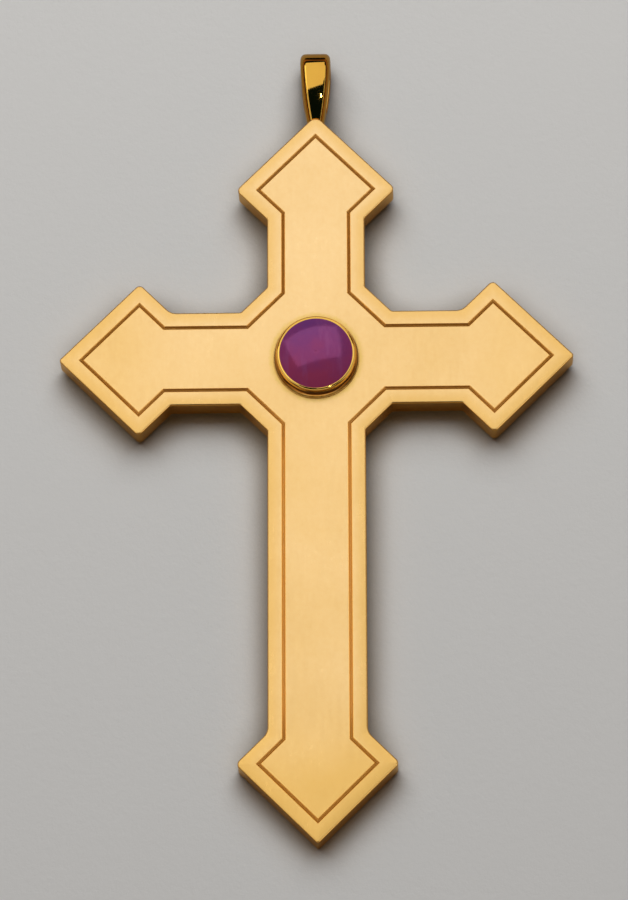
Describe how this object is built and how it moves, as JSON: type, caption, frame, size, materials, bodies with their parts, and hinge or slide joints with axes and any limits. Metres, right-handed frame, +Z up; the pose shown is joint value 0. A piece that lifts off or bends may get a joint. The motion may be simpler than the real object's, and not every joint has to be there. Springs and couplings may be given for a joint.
{
  "type": "pectoral cross",
  "caption": "Flat metal cross with diamond-shaped ends, an engraved border line, a round purple cabochon set at the crossing and a rigid loop for a chain at the head.",
  "frame": {"origin": "the point of the back face behind the centre of the stone, where the axes of the arms and the shaft cross", "axes": "+Z up the shaft to the head and the loop, +X to the right of someone facing the front, the front faces -Y and the back face lies in the plane Y = 0"},
  "size_m": [0.0676, 0.0077, 0.1092],
  "materials": {
    "gilt_satin": "gilt, fine satin",
    "gilt_polished": "gilt, polished",
    "gilt_raw": "bare metal, matt, hidden inside",
    "amethyst": "polished cabochon, cloudy purple"
  },
  "bodies": {
    "root": {"front_plate": "gilt_satin", "back_plate": "gilt_satin", "wall_upper_left": "gilt_polished", "wall_upper_right": "gilt_polished", "wall_lower_left": "gilt_polished", "wall_lower_right": "gilt_polished", "head_block": "gilt_raw", "crossing_spacer": "gilt_raw", "bail_loop": "gilt_polished", "bail_peg": "gilt_raw", "collet_peg": "gilt_raw", "collet_base": "gilt_polished", "bezel_rim": "gilt_polished", "stone_bearing": "gilt_raw", "amethyst_cabochon": "amethyst"}
  },
  "joints": []
}
